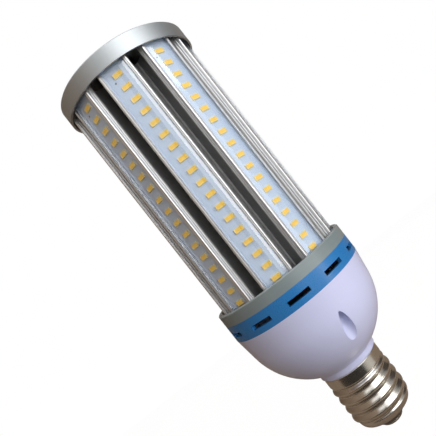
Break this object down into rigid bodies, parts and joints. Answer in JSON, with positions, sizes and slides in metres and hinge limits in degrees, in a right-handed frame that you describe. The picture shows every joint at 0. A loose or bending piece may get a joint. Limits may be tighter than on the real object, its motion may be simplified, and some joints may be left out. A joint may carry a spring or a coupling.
{
  "type": "corn led bulb",
  "caption": "Corn LED lamp: finned aluminium body with LED strips all round under clear covers, a vented ring, a domed driver housing and a large screw cap.",
  "frame": {"origin": "middle of the centre contact's end face, the end that goes into the lamp holder first", "axes": "+Z along the lamp's axis from the contact to the LED head; one LED panel faces -Y"},
  "size_m": [0.0902, 0.0902, 0.2652],
  "materials": {
    "aluminium": "extruded and turned, satin",
    "screw_steel": "zinc plated",
    "grey_ring": "satin grey paint",
    "blue_ring": "moulded, semi-gloss",
    "white_housing": "moulded, semi-gloss",
    "nickel": "nickel plated, bright",
    "black_insulator": "moulded",
    "contact_metal": "plated button",
    "driver_board": "solder mask",
    "ferrite": "sintered",
    "winding": "tape wrapped",
    "capacitor_sleeve": "shrink sleeve",
    "choke": "coated core",
    "red_insulation": "wire insulation",
    "black_insulation": "wire insulation",
    "white_insulation": "wire insulation",
    "led_board": "white solder mask on aluminium",
    "led_package": "phosphor gel in a white frame",
    "clear_cover": "clear, flat"
  },
  "bodies": {
    "root": {"heat_sink": "aluminium", "top_cap": "aluminium", "cap_screws": "screw_steel", "ring_screws": "screw_steel", "housing_screws": "screw_steel", "lower_ring": "grey_ring", "vent_ring": "blue_ring", "base_housing": "white_housing", "screw_shell": "nickel", "cap_insulator": "black_insulator", "centre_contact": "contact_metal", "driver_board": "driver_board", "transformer_core": "ferrite", "transformer_winding": "winding", "input_capacitor": "capacitor_sleeve", "output_capacitor": "capacitor_sleeve", "line_choke": "choke", "bridge_rectifier": "black_insulator", "live_lead": "red_insulation", "neutral_lead": "black_insulation", "led_lead_positive": "red_insulation", "led_lead_negative": "black_insulation", "link_wires": "white_insulation", "led_board_1": "led_board", "led_chips_1": "led_package", "light_cover_1": "clear_cover", "led_board_2": "led_board", "led_chips_2": "led_package", "light_cover_2": "clear_cover", "led_board_3": "led_board", "led_chips_3": "led_package", "light_cover_3": "clear_cover", "led_board_4": "led_board", "led_chips_4": "led_package", "light_cover_4": "clear_cover", "led_board_5": "led_board", "led_chips_5": "led_package", "light_cover_5": "clear_cover", "led_board_6": "led_board", "led_chips_6": "led_package", "light_cover_6": "clear_cover", "led_board_7": "led_board", "led_chips_7": "led_package", "light_cover_7": "clear_cover", "led_board_8": "led_board", "led_chips_8": "led_package", "light_cover_8": "clear_cover", "led_board_9": "led_board", "led_chips_9": "led_package", "light_cover_9": "clear_cover"}
  },
  "joints": []
}
